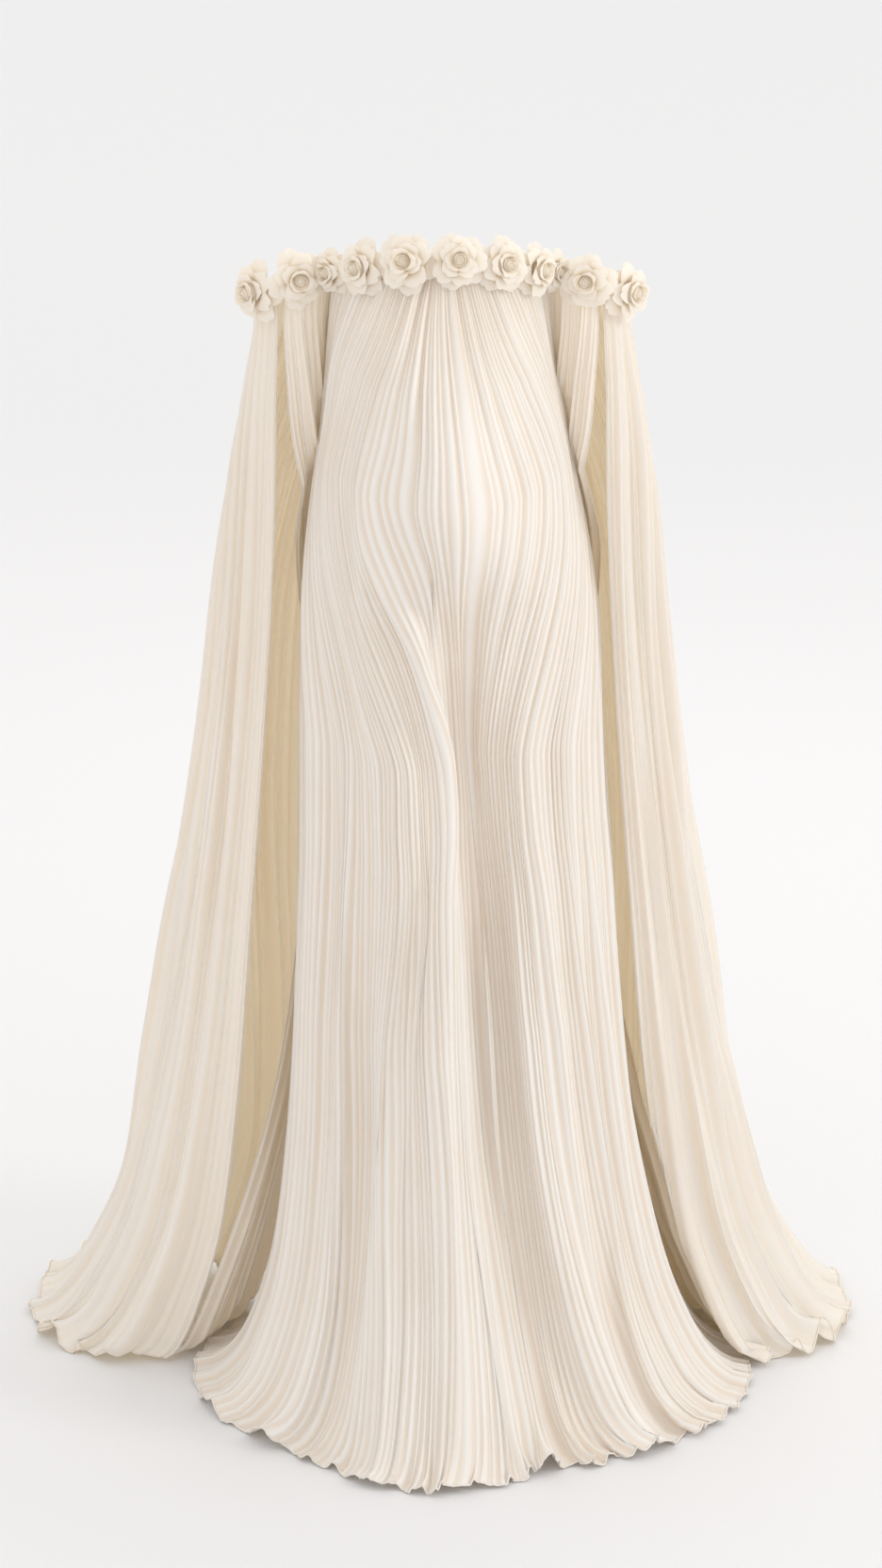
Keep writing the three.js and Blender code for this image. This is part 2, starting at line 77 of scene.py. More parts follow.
# The gown's sections from neckline to hem. In millimetres: height and how far the neckline rises in front;
# the ellipse's reach to each side, front and back; then place and size of the leg and of each crease, the
# height of the folds and of the ruffles. Spread and drift are shares that move the pleats across
gownSections = table(
    "height rise left right front back spread drift legAt legOut legWide "
    "dipAt dipIn edgeAt edgeIn kneeAt kneeIn sideAt sideIn fold wave",
    [1389, 33, 128, 128, 118, 100, 0.0, 0.0, -55, 0, 48, 10, 0, -30, 0, -24, 0, 120, 0, 0, 0],
    [1345, 25, 130, 128, 129, 103, 0.22, 0.0, -55, 0, 48, 10, 0, -46, 3, -24, 0, 120, 0, 0.5, 0],
    [1290, 15, 133, 132, 143, 106, 0.5, 0.0, -55, 0, 48, 10, 0, -74, 7, -24, 0, 120, 0, 1, 0],
    [1232, 6, 138, 143, 148, 108, 0.72, 0.0, -52, 0, 60, 10, 0, -92, 14, -24, 0, 120, 0, 1.2, 0],
    [1172, 0, 145, 153, 151, 111, 0.84, 0.0, -52, 0, 60, 10, 0, -99, 18, -24, 0, 124, 0, 1.2, 0],
    [1112, 0, 152, 164, 154, 116, 0.8, 0.005, -52, 3, 60, 10, 5, -103, 17, -24, 0, 128, 0, 1.5, 0],
    [1050, 0, 158, 175, 157, 121, 0.6, 0.01, -50, 14, 64, 10, 16, -105, 14, -24, 0, 132, 0, 2, 0],
    [975, 0, 163, 184, 157, 126, 0.32, 0.018, -46, 27, 68, 12, 34, -107, 12, -24, 0, 136, 0, 3, 0],
    [870, 0, 165, 189, 154, 133, 0.08, 0.026, -42, 38, 70, 18, 50, -108, 12, -24, 0, 140, 0, 4, 0],
    [760, 0, 166, 195, 153, 141, 0.0, 0.032, -38, 44, 68, 29, 54, -108, 13, -24, 0, 145, 2, 5, 0],
    [670, 0, 167, 202, 155, 149, 0.0, 0.036, -32, 48, 64, 38, 54, -109, 13, -31, 10, 150, 5, 5.5, 0],
    [520, 0, 173, 212, 162, 164, 0.0, 0.044, -22, 45, 64, 49, 53, -110, 14, -55, 22, 166, 9, 6.5, 0],
    [340, 0, 183, 232, 178, 188, 0.0, 0.055, -20, 44, 76, 60, 50, -113, 16, -73, 24, 192, 14, 8, 0],
    [170, 0, 203, 268, 208, 222, 0.0, 0.064, -26, 48, 94, 82, 44, -124, 18, -98, 22, 212, 18, 9, 1],
    [66, 0, 235, 310, 246, 258, 0.0, 0.07, -31, 52, 108, 104, 32, -142, 14, -118, 16, 236, 14, 8, 3],
    [20, 0, 268, 346, 268, 288, 0.0, 0.074, -34, 54, 116, 118, 16, -165, 8, -135, 8, 258, 8, 5, 7],
    [8, 0, 301, 378, 284, 310, 0.0, 0.076, -36, 55, 122, 126, 9, -185, 4, -150, 5, 272, 4, 3, 10],
)
# The sleeves' sections from arm band to hem. In millimetres: height, tilt and lean of the ring, its centre
# and half sizes, then the angles of the slit's two edges in degrees, and the height of folds and ruffles
sleeveSections = table(
    "height tilt lean atX atY halfWide halfDeep inner outer fold wave",
    [1383, 34, 22, 170.9, 3, 40, 52, 283, 292, 0, 0],
    [1336, 22, 14, 175, 4, 38, 54, 276, 288, 1, 0],
    [1270, 8, 5, 181, 9, 42, 60, 262, 281, 3, 0],
    [1195, 0, 0, 190, 20, 47, 67, 243, 270, 4, 0],
    [1110, 0, 0, 199, 38, 51, 77, 214, 262, 5, 0],
    [980, 0, 0, 210, 60, 55, 88, 190, 257, 6, 0],
    [820, 0, 0, 222, 82, 62, 100, 184, 257, 7, 0],
    [620, 0, 0, 239, 106, 74, 114, 188, 258, 8, 0],
    [400, 0, 0, 263, 136, 87, 134, 214, 255, 9, 0],
    [200, 0, 0, 296, 164, 98, 150, 239, 251, 10, 2],
    [80, 0, 0, 336, 184, 112, 158, 245, 249, 9, 6],
    [22, 0, 0, 364, 194, 124, 161, 246, 249, 6, 9],
    [8, 0, 0, 382, 199, 132, 164, 247, 249, 3, 11],
)
# Mounds in millimetres: place, height, push, width, reach above and below, and the hump's power. They are
# the belly, the hollow under it on one side, the bend of the forward leg, and both sides of the bust
mounds = [
    (10, 1192, 108, 105, 152, 132, 2.7),
    (-50, 1098, -16, 40, 46, 50, 2),
    (-6, 668, 12, 34, 120, 60, 2),
    (-60, 1345, 13, 44, 40, 60, 2.2),
    (62, 1345, 13, 44, 40, 60, 2.2),
]
# Creases: their columns for line and depth, how wide they are to each side, and how far they draw pleats in
creases = [
    ("dipAt", "dipIn", 13, 40, 80), ("edgeAt", "edgeIn", 40, 10, 36),
    ("kneeAt", "kneeIn", 34, 11, 36), ("sideAt", "sideIn", 11, 40, 40),
]


# Columns of a table at places s between its rows, on the cubic through the four rows around each place
def sectionAt(columns, s):
    count = len(next(iter(columns.values())))
    i = np.clip(np.floor(s).astype(int), 0, count - 2)
    t = s - i
    near = [np.clip(i + k, 0, count - 1) for k in (-1, 0, 1, 2)]
    made = {}
    for name, values in columns.items():
        a, b, c, d = (values[k] for k in near)
        made[name] = b + 0.5 * t * (c - a + t * (2 * a - 5 * b + 4 * c - d + t * (3 * (b - c) + d - a)))
    return made


# A soft hump, e to minus the power of distance over width
def hump(distance, width, power=2.0):
    return np.exp(-((np.abs(distance) / width) ** power))


# Two waves of different length across a piece, 6 to 4
def softFold(across, longWaves, shortWaves, phase):
    return (0.6 * np.sin(2 * np.pi * longWaves * across + phase)
            + 0.4 * np.sin(2 * np.pi * shortWaves * across + 2.1 * phase))


# Nought at both edges of a piece and one in its middle
def seamFade(across):
    return np.maximum(0, np.sin(np.pi * np.clip(across, 0, 1))) ** 0.6


# The gown's front: an ellipse in plan, pushed out by the mounds and the leg and in by the creases,
# whose pleats are drawn towards each crease by a share of their distance that fades with its hump
def frontPoint(across, s):
    c = sectionAt(gownSections, s)
    place = (across - c["spread"] * np.sin(2 * np.pi * across) / (2 * np.pi)
             + c["drift"] * np.sin(np.pi * across))
    fade = seamFade(across)
    middle = (c["right"] - c["left"]) / 2
    halfWide = (c["left"] + c["right"]) / 2
    x = middle - halfWide * np.cos(np.pi * np.clip(place, 0, 1))
    for at, depth, leftWide, rightWide, reach in creases:
        drawnIn = 0.75 * c[depth] / (c[depth] + 12)
        x = x - fade * drawnIn * (x - c[at]) * hump(x - c[at], reach)
    facing = np.sqrt(np.maximum(0, 1 - ((x - middle) / halfWide) ** 2))
    height = c["height"] + c["rise"] * facing ** 2
    out = (c["legOut"] * hump(x - c["legAt"], c["legWide"], 2.4)
           + c["fold"] * softFold(across, 6.5, 10.7, 0.8))
    for at, depth, leftWide, rightWide, reach in creases:
        out = out - c[depth] * hump(x - c[at], np.where(x < c[at], leftWide, rightWide))
    for atX, atHeight, push, wide, above, below, power in mounds:
        upDown = np.where(height > atHeight, above, below)
        out = out + push * hump(x - atX, wide, power) * hump(height - atHeight, upDown, power)
    ruffle = c["wave"] * np.sin(2 * np.pi * 16.5 * across + 1.3 * np.sin(9 * across))
    return np.stack([
        x * (1 + 0.5 * ruffle * fade / halfWide),
        -c["front"] * facing - (out * fade + 0.5 * ruffle) * np.sqrt(facing),
        height + 0.5 * fade * (ruffle + c["wave"]),
    ], axis=-1) / 1000


# The gown's back: half an ellipse in plan with soft folds
def backPoint(across, s):
    c = sectionAt(gownSections, s)
    turn = np.pi * across
    halfWide = (c["left"] + c["right"]) / 2
    facing = np.maximum(0, np.sin(turn))
    fade = seamFade(across)
    out = c["fold"] * 1.3 * softFold(across, 5.5, 8.5, 2.2)
    ruffle = c["wave"] * np.sin(2 * np.pi * 13.5 * across + 1.1 * np.sin(8 * across))
    return np.stack([
        (c["right"] - c["left"]) / 2 + halfWide * np.cos(turn) * (1 + 0.5 * ruffle * fade / halfWide),
        c["back"] * facing + (out * fade + 0.5 * ruffle) * np.sqrt(facing),
        c["height"] - 0.9 * c["rise"] * facing ** 2 + 0.5 * fade * (ruffle + c["wave"]),
    ], axis=-1) / 1000


# Points in millimetres moved out of the gown's ellipse at their height, to lie beside it
def clearOfGown(x, y, height):
    up = gownSections["height"][::-1]
    c = {name: np.interp(height, up, values[::-1]) for name, values in gownSections.items()}
    beside = np.clip((1385 - height) / 60, 0, 1)
    room = 2.5 + (4.9 + 1.6 * c["fold"] + 1.25 * c["wave"]) * beside
    middle = (c["right"] - c["left"]) / 2
    wide = (c["left"] + c["right"]) / 2 + room
    deep = np.where(y < 0, c["front"], c["back"]) + room
    away = np.hypot((x - middle) / wide, y / deep)
    grow = np.maximum(away, 1) / away
    return middle + (x - middle) * grow, y * grow


# A cape sleeve: a ring in plan about a centre, open at the slit, that gives way to the gown
def sleevePoint(side):
    def point(across, s):
        c = sectionAt(sleeveSections, s)
        turn = np.radians(c["inner"] - across * (360 - (c["outer"] - c["inner"])))
        fade = seamFade(across)
        out = c["fold"] * fade * softFold(across, 5.2, 8.4, 0.4 if side > 0 else 1.5)
        ruffle = c["wave"] * fade * np.sin(2 * np.pi * 12 * across + np.sin(7 * across))
        grow = 1 + (out + 0.5 * ruffle) / c["halfDeep"]
        x = side * (c["atX"] + c["halfWide"] * grow * np.cos(turn))
        y = c["atY"] + c["halfDeep"] * grow * np.sin(turn)
        z = (c["height"] - c["tilt"] * np.cos(turn) / 2 - c["lean"] * (1 + np.sin(turn)) / 2
             + 0.5 * (ruffle + c["wave"] * fade))
        x, y = clearOfGown(x, y, np.broadcast_to(c["height"], x.shape))
        return np.stack([x, y, z], axis=-1) / 1000
    return point


# Places of the rows down a surface, spaced by the length of the cloth and closer at the hem
def rowPlaces(point, lastRow, rows):
    s = np.linspace(0, lastRow, 500)[:, None]
    line = point(np.array([[0.25, 0.5, 0.75]]), s).mean(axis=1)
    run = np.concatenate([[0], np.cumsum(np.linalg.norm(np.diff(line, axis=0), axis=1))])
    shares = np.concatenate([np.linspace(0, 0.9, rows - 12), np.linspace(0.9, 1, 13)[1:]])
    return np.interp(shares * run[-1], run, s[:, 0])[:, None], shares[:, None] * run[-1]


# Shares of a piece's width turned into places across it: each is where the run along the cloth, as a mean
# over many heights, has reached that share
def evenly(point, lastRow, shares, low, high):
    places = np.linspace(low, high, 400)
    lines = point(places[None, :], np.linspace(0, lastRow, 15)[:, None])
    run = np.cumsum(np.linalg.norm(np.diff(lines, axis=1), axis=-1), axis=1)
    reached = np.concatenate([[0], (run / run[:, -1:]).mean(axis=0)])
    return np.interp(shares, reached, places)


# Unit directions out of a grid of points: the way down crossed with the way along
def directions(points, outwards):
    normal = np.cross(np.gradient(points, axis=0), np.gradient(points, axis=1)) * outwards
    return normal / np.maximum(np.linalg.norm(normal, axis=-1, keepdims=True), 1e-9)


# The mean over as many columns to each side as its reach, taken twice
def blurAcross(values, reach):
    for _ in range(2):
        padded = np.pad(values, ((0, 0), (reach + 1, reach), (0, 0)), mode="edge")
        total = np.cumsum(padded, axis=1)
        values = (total[:, 2 * reach + 1:] - total[:, :-2 * reach - 1]) / (2 * reach + 1)
    return values


# Waves of random length across a piece that wander slowly down it, about one high in all
def wander(across, run, rng, lowest, highest, count, drift):
    total = np.zeros(np.broadcast(across, run).shape)
    for _ in range(count):
        often = rng.uniform(lowest, highest)
        lean = drift * np.sin(rng.uniform(0.5, 1.4) * 2 * np.pi * run + rng.uniform(0, 6.3))
        total += np.sin(2 * np.pi * often * across + rng.uniform(0, 6.3) + lean)
    return total / math.sqrt(count)


# The four corners of each square of a grid whose points are numbered row by row from start
def gridQuads(rows, columns, start=0):
    index = start + np.arange(rows * columns).reshape(rows, columns)
    corners = [index[:-1, :-1], index[1:, :-1], index[1:, 1:], index[:-1, 1:]]
    return np.stack(corners, axis=-1).reshape(-1, 4)


# Turns a grid of points into a mesh object with a flat map in metres and a tone at each point
def gridObject(name, points, tone, flat, flip=False):
    quads = gridQuads(*points.shape[:2])
    if flip:
        quads = quads[:, ::-1]
    return meshObject(name, points.reshape(-1, 3), quads, tone.ravel(), flat.reshape(-1, 2))


# A smooth mesh of points and squares, with its flat map and its tone
def meshObject(name, points, quads, tone, flat):
    mesh = bpy.data.meshes.new(name)
    mesh.vertices.add(len(points))
    mesh.vertices.foreach_set("co", np.ascontiguousarray(points, dtype=np.float32).ravel())
    corners = np.ascontiguousarray(quads, dtype=np.int32).ravel()
    mesh.loops.add(len(corners))
    mesh.loops.foreach_set("vertex_index", corners)
    mesh.polygons.add(len(quads))
    mesh.polygons.foreach_set("loop_start", np.arange(0, len(corners), 4, dtype=np.int32))
    mesh.update(calc_edges=True)
    mesh.polygons.foreach_set("use_smooth", np.ones(len(quads), dtype=bool))
    layer = mesh.uv_layers.new(name="flat")
    layer.uv.foreach_set("vector", np.ascontiguousarray(flat[corners], dtype=np.float32).ravel())
    mesh.attributes.new("tone", "FLOAT", "POINT").data.foreach_set("value", tone.astype(np.float32))
    mesh.validate()
    made = bpy.data.objects.new(name, mesh)
    bpy.context.scene.collection.objects.link(made)
    return made


# A round tube along a line of points, each ring square to the line
def tube(name, line, radius, sides=6):
    ahead = np.gradient(line, axis=0)
    ahead /= np.maximum(np.linalg.norm(ahead, axis=1, keepdims=True), 1e-9)
    across = np.cross(ahead, [0.0, 0.0, 1.0])
    across /= np.maximum(np.linalg.norm(across, axis=1, keepdims=True), 1e-9)
    upwards = np.cross(across, ahead)
    turn = np.linspace(0, 2 * np.pi, sides + 1)[None, :, None]
    points = line[:, None] + radius * (np.cos(turn) * across[:, None] + np.sin(turn) * upwards[:, None])
    run = np.concatenate([[0], np.cumsum(np.linalg.norm(np.diff(line, axis=0), axis=1))])
    flat = np.stack(np.broadcast_arrays(run[:, None], radius * turn[:, :, 0]), axis=-1)
    return gridObject(name, points, np.full(points.shape[:2], 0.8), flat)


# A value in a shader: plus, minus and times each add one Math node
class Value:
    def __init__(self, shader, socket):
        self.shader, self.socket = shader, socket

    def reckon(self, operation, other):
        return self.shader.node("Math", {0: self, 1: other}, operation=operation)

    def __add__(self, other):
        return self.reckon("ADD", other)

    def __sub__(self, other):
        return self.reckon("SUBTRACT", other)

    def __mul__(self, other):
        return self.reckon("MULTIPLY", other)

    __radd__ = __add__


# A material's node tree, with one method that adds any node and links or sets its inputs
class Shader:
    def __init__(self, name):
        self.material = bpy.data.materials.new(name)
        self.material.use_nodes = True
        self.tree = self.material.node_tree
        self.tree.nodes.clear()

    def node(self, kind, inputs=None, take=0, **settings):
        made = self.tree.nodes.new("ShaderNode" + kind)
        for key, value in settings.items():
            setattr(made, key, value)
        for key, value in (inputs or {}).items():
            if isinstance(value, Value):
                self.tree.links.new(value.socket, made.inputs[key])
            else:
                made.inputs[key].default_value = value
        return Value(self, made.outputs[take]) if made.outputs else made

    # Colours a and b mixed by a factor
    def blend(self, factor, a, b):
        return self.node("Mix", {0: factor, 6: a, 7: b}, take=2, data_type="RGBA")


# A colour for a socket, with alpha 1
def colour(red, green, blue):
    return (red, green, blue, 1.0)


# Cloth whose tone mixes its colour from painted shade in the pleats' valleys to painted light on their
# crests, with fine crinkles that run down the pleats in its height and, as painted shade, in its colour, a
# weave, slight clouding, a soft sheen, and some light passing through
def clothMaterial(name, crestLight, valleyShade, glow, through, roughness, sheen, crinkle, raised, crinkleShade):
    shader = Shader(name)
    tone = shader.node("Attribute", take=2, attribute_name="tone")
    place = shader.node("UVMap", uv_map="flat")
    cloud = shader.node("TexNoise", {"Vector": shader.node("TexCoord", take=3), "Scale": 9.0, "Detail": 3.0})
    stretched = shader.node("Mapping", {"Vector": place, "Scale": (1 / crinkle, 0.03 / crinkle, 1.0)})
    crinkles = shader.node("TexNoise", {"Vector": stretched, "Scale": 1.0, "Detail": 2.5, "Roughness": 0.6})
    # Painted shade: the tone and the crinkles darken the colour where the cloth sinks and lighten it where it
    # rises; the clouding is random
    shade = tone + (cloud - 0.5) * 0.3 + (crinkles - 0.5) * crinkleShade
    base = shader.blend(shade, colour(*valleyShade), colour(*crestLight))
    threads = shader.node("Mapping", {"Vector": place, "Scale": (1400.0, 1400.0, 1.0)})
    weave = shader.node("TexWave", {"Vector": threads, "Scale": 1.0, "Distortion": 0.6}, take=1,
                        bands_direction="DIAGONAL")
    bump = shader.node("Bump", {"Strength": raised, "Distance": 0.0016, "Height": crinkles + weave * 0.04})
    surface = shader.node("BsdfPrincipled", {
        "Base Color": base, "Roughness": roughness + (cloud - 0.5) * 0.12, "Normal": bump,
        "Sheen Weight": sheen, "Sheen Roughness": 0.45, "Sheen Tint": colour(1.0, 0.97, 0.92),
        "Specular IOR Level": 0.25,
    })
    passing = shader.node("BsdfTranslucent", {"Color": colour(*glow), "Normal": bump})
    mixed = shader.node("MixShader", {0: through, 1: surface, 2: passing})
    shader.node("OutputMaterial", {"Surface": mixed})
    return shader.material


# Painted shade and light: each cloth's valley colour stands for shade deep in pleats and petals, its crest
# colour for light on crests and lips
gownCloth = clothMaterial("gown cloth", (0.97, 0.94, 0.9), (0.83, 0.69, 0.55), (1.0, 0.92, 0.8),
                          0.1, 0.6, 0.2, 0.0032, 0.3, 0.3)
# The sleeve cloth, like the gown's but paler, is a lit copy: painted light on the sleeves
sleeveCloth = clothMaterial("sleeve cloth", (1.0, 0.985, 0.96), (0.96, 0.84, 0.68), (1.0, 0.84, 0.58),
                            0.24, 0.6, 0.2, 0.0032, 0.3, 0.3)
roseCloth = clothMaterial("rose satin", (1.0, 0.975, 0.925), (0.99, 0.85, 0.66), (1.0, 0.91, 0.76),
                          0.25, 0.42, 0.3, 0.006, 0.08, 0.2)
print("materials made")


# Heights over the floor at which a piece gives its bow, and its folds and fullness
bowHeights = [0.0, 0.5, 0.85, 1.0, 1.17, 1.3, 1.43]
foldHeights = [0.0, 0.35, 0.9, 1.2, 1.4]
# How much a pleat and a bulge of the cloth change its tone, painted shade in valleys and hollows and painted
# light on crests and bulges, and the bulge at which that levels off
paintedShade = {"pleat": 1.3, "bulge": 0.14, "levels": 0.009}


# Rows and columns of one pleated piece. The pleats run apart where the bow is over 0 and together where it is
# less. Each pleat has its own width, height and lean, and finer ridges over it. Its height is the sine of the
# way across it to a power, times its own height, and never more than a share of its width. Its tone is
# painted
# shade and light: it falls between the pleats and wherever the cloth lies in a hollow, and rises on crests
def pleatedPiece(point, lastRow, outwards, settings):
    rng = np.random.default_rng(settings["seed"])
    pleats, perPleat = settings["pleats"], settings["perPleat"]
    widths = rng.uniform(1 - settings["uneven"], 1 + settings["uneven"], pleats)
    widths[rng.uniform(size=pleats) < 0.18] *= 1.6
    edges = np.concatenate([[0], np.cumsum(widths)]) / widths.sum()
    which = np.minimum(np.arange(pleats * perPleat + 1) // perPleat, pleats - 1)
    t = (np.arange(pleats * perPleat + 1) - which * perPleat)[None, :] / perPleat
    across = edges[which] + t[0] * (edges[which + 1] - edges[which])
    low, high = settings.get("span", (0.0, 1.0))
    across = evenly(point, lastRow, across, low, high)[None, :]
    s, run = rowPlaces(point, lastRow, settings["rows"])
    height = point(across, s)[..., 2]
    bow = np.interp(height, bowHeights, settings.get("bow", [0] * 7))
    base = point(across + (across - 0.5) * np.sin(np.pi * across) * bow, s)
    height = base[..., 2]
    lean = rng.uniform(0.6, 1.6, pleats)[which][None, :]
    fine = np.abs(np.sin(np.pi * (rng.integers(2, 4, pleats)[which][None, :] * t + 0.5)))
    finer = 0.16 + 0.22 * np.clip(1 - height / 0.9, 0, 1)
    ridge = (1 - finer) * np.sin(np.pi * t ** lean) ** settings["round"] + finer * fine
    tall = rng.uniform(settings["lowest"], 1.0, pleats) ** 1.3
    tall = tall[which][None, :]
    phase = rng.uniform(0, 6.3, pleats)[which][None, :]
    swells = rng.uniform(0.7, 2.2, pleats)[which][None, :]
    tall = tall * (0.84 + 0.16 * np.sin(2 * np.pi * run * swells + phase))
    gathered = np.clip(run / settings["easeOver"], 0, 1)
    depth = settings["depthTop"] + (settings["depth"] - settings["depthTop"]) * gathered
    depth = depth * settings.get("quiet", lambda x, h: 1.0)(base[..., 0], height)
    column = np.linalg.norm(np.gradient(base, axis=1), axis=-1, keepdims=True)
    depth = np.minimum(depth, 0.95 * perPleat * blurAcross(column, perPleat)[..., 0])
    fade = seamFade((across - low) / (high - low))
    grown = np.interp(height, foldHeights, settings["foldSizes"])
    folds = wander(across, run, rng, *settings["foldWaves"], 6, 0.8)
    folds = grown * fade * (folds + 0.35 * (folds ** 2 - 1))
    gathers = wander(across, run * 0, rng, *settings["gatherWaves"], 5, 0.0)
    folds += settings["gatherSize"] * fade * gathers * np.exp(-run / 0.22) * np.clip(run / 0.03, 0, 1)
    folds += fade * np.interp(height, foldHeights, settings.get("fuller", [0] * 5))
    hemward = np.clip(1 - height / settings["hemTall"], 0, 1) ** 1.5
    wavy = wander(across, run * 0, rng, *settings["hemWaves"], 4, 0.0)
    normal = directions(base, outwards)
    points = base + normal * (depth * (tall * ridge - 0.5) + folds)[..., None]
    sideways = normal * [1, 1, 0]
    points += sideways * (settings["hemOut"] * hemward * wavy * fade)[..., None]
    points[..., 2] += settings["hemLift"] * hemward * fade * np.maximum(0, np.roll(wavy, perPleat, axis=1))
    points[..., 2] -= neckHeight
    points[..., 2] = np.maximum(points[..., 2], floorZ + 0.0018)
    points[0, :, 2] = base[0, :, 2] - neckHeight
    smooth = blurAcross(points, settings["hollowReach"])
    hollow = ((points - smooth) * normal).sum(axis=-1)
    bulge = np.tanh(blurAcross(hollow[..., None], perPleat)[..., 0] / paintedShade["levels"])
    # Painted shade and light: the tone falls in the pleats' valleys and the cloth's hollows and rises on
    # crests and bulges
    tone = (settings["light"] + paintedShade["pleat"] * (ridge - 0.5) * (0.5 + 0.5 * tall)
            + paintedShade["bulge"] * bulge)
    flat = np.stack(np.broadcast_arrays(across * settings["flatWide"], run), axis=-1)
    return points, np.clip(tone, 0, 1), flat


# Hides the solid that a pleated piece stands for and hangs the piece and its hems on the root
def settle(piece, node, slot, flat, area, hems, held="gathered"):
    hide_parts(node)
    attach(piece, "root")
    for hem in hems:
        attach(hem, "root")


# The gown's front and back. Lengths are in metres, and the waves are the least and the most across a piece
front = {
    "seed": 3, "pleats": 92, "perPleat": 9, "uneven": 0.5, "rows": 112, "round": 1.5, "lowest": 0.3,
    "depthTop": 0.0055, "depth": 0.0085, "easeOver": 0.16, "foldSizes": [0.009, 0.012, 0.007, 0.0014, 0.002],
    "light": 0.58, "gatherWaves": (20, 36), "gatherSize": 0.003,
    "bow": [0, 0, -0.16, 0.05, 0.32, 0.12, -0.4],
    "foldWaves": (5, 14), "hemTall": 0.055, "hemWaves": (34, 44), "hemOut": 0.01, "hemLift": 0.014,
    "flatWide": 1.9, "hollowReach": 36,
    "quiet": lambda x, h: 1 - 0.2 * hump(x - 0.01, 0.11, 3) * hump(h - 1.17, 0.13, 3),
}
points, tone, flat = pleatedPiece(frontPoint, 16, 1, front)
points[..., 1] = np.minimum(points[..., 1], -seamGap / 2)
frontPiece = gridObject("gown_front", points, tone, flat)
frontPiece.data.materials.append(gownCloth)
frontHem = tube("gown_front_hem", points[-1] + [0, 0, 0.0006], 0.0012)
frontHem.data.materials.append(gownCloth)
settle(frontPiece, "front", "cloth", (1.3, 1.5), 1.4, [frontHem])
print("front made")

back = {
    "seed": 11, "pleats": 76, "perPleat": 8, "uneven": 0.55, "rows": 84, "round": 1.5, "lowest": 0.3,
    "depthTop": 0.0055, "depth": 0.0085, "easeOver": 0.16, "foldSizes": [0.006, 0.008, 0.005, 0.002, 0.0014],
    "light": 0.58, "gatherWaves": (18, 32), "gatherSize": 0.0026,
    "foldWaves": (5, 14), "hemTall": 0.055, "hemWaves": (30, 40), "hemOut": 0.01, "hemLift": 0.014,
    "flatWide": 1.9, "hollowReach": 30,
}
points, tone, flat = pleatedPiece(backPoint, 16, 1, back)
points[..., 1] = np.maximum(points[..., 1], seamGap / 2)
backPiece = gridObject("gown_back", points, tone, flat)
backPiece.data.materials.append(gownCloth)
backHem = tube("gown_back_hem", points[-1] + [0, 0, 0.0006], 0.0012)
backHem.data.materials.append(gownCloth)
settle(backPiece, "back", "cloth", (1.2, 1.42), 1.2, [backHem])
print("back made")

# The two panels of a sleeve, each a span of the ring from the inner edge of the slit round to the outer edge
# The panels' light tone of 0.8, above the gown's 0.58, is painted light
sleeves = {
    "inner": {
        "span": (0.0, 9 / 24), "pleats": 22, "perPleat": 8, "uneven": 0.5, "rows": 84, "round": 1.5,
        "lowest": 0.3, "depthTop": 0.0045, "depth": 0.0085, "easeOver": 0.16,
        "foldSizes": [0.006, 0.008, 0.007, 0.005, 0.002], "foldWaves": (8, 18), "hemTall": 0.09,
        "light": 0.8, "gatherWaves": (12, 22), "gatherSize": 0.0024,
        "fuller": [0.004, 0.008, 0.006, 0.01, 0.008],
        "hemWaves": (16, 26), "hemOut": 0.012, "hemLift": 0.02, "flatWide": 1.1, "hollowReach": 14,
    },
    "outer": {
        "span": (9 / 24, 1.0), "pleats": 38, "perPleat": 8, "uneven": 0.5, "rows": 84, "round": 1.5,
        "lowest": 0.3, "depthTop": 0.0045, "depth": 0.0085, "easeOver": 0.16,
        "foldSizes": [0.009, 0.01, 0.008, 0.005, 0.003], "foldWaves": (8, 19), "hemTall": 0.09,
        "light": 0.8, "gatherWaves": (12, 22), "gatherSize": 0.0026,
        "hemWaves": (15, 24), "hemOut": 0.014, "hemLift": 0.024, "flatWide": 1.1, "hollowReach": 18,
    },
}
flats = {"inner": ((0.55, 1.45), 0.4), "outer": ((0.85, 1.48), 0.7)}
for seed, (name, side) in enumerate((("right", -1), ("left", 1))):
    for part, settings in sleeves.items():
        full = dict(settings, seed=20 + 3 * seed + (part == "outer"))
        points, tone, flat = pleatedPiece(sleevePoint(side), 12, -side, full)
        piece = gridObject(f"sleeve_{name}_{part}_cloth", points, tone, flat, flip=side > 0)
        piece.data.materials.append(sleeveCloth)
        edge = points[:, 0] if part == "inner" else points[:, -1]
        hems = [tube(f"sleeve_{name}_{part}_hem", points[-1] + [0, 0, 0.0006], 0.0012),
                tube(f"sleeve_{name}_{part}_edge", edge, 0.0011)]
        for hem in hems:
            hem.data.materials.append(sleeveCloth)
        settle(piece, f"sleeve_{name}_{part}", "sleeve_cloth", *flats[part], hems)
print("sleeves made")


# A place on a band's line and its outward direction, at an angle from +X
def ringPlace(ring, angle):
    turn = math.radians(angle)
    outX, outY = math.cos(turn), math.sin(turn)
    if ring == "torso":
        c = {name: values[0] for name, values in gownSections.items()}
        deep, rise = (c["front"], c["rise"]) if outY < 0 else (c["back"], -0.9 * c["rise"])
        at = np.array([c["left"] * outX, deep * outY, c["height"] + rise * outY ** 2])
        away = np.array([outX / c["left"], outY / deep, 0])
    else:
        side = 1 if ring == "leftArm" else -1
        c = {name: values[0] for name, values in sleeveSections.items()}
        at = np.array([side * c["atX"] + c["halfWide"] * outX, c["atY"] + c["halfDeep"] * outY,
                       c["height"] - c["tilt"] * side * outX / 2 - c["lean"] * (1 + outY) / 2])
        away = np.array([outX / c["halfWide"], outY / c["halfDeep"], 0])
    return at / 1000 - [0, 0, neckHeight], away / np.linalg.norm(away)


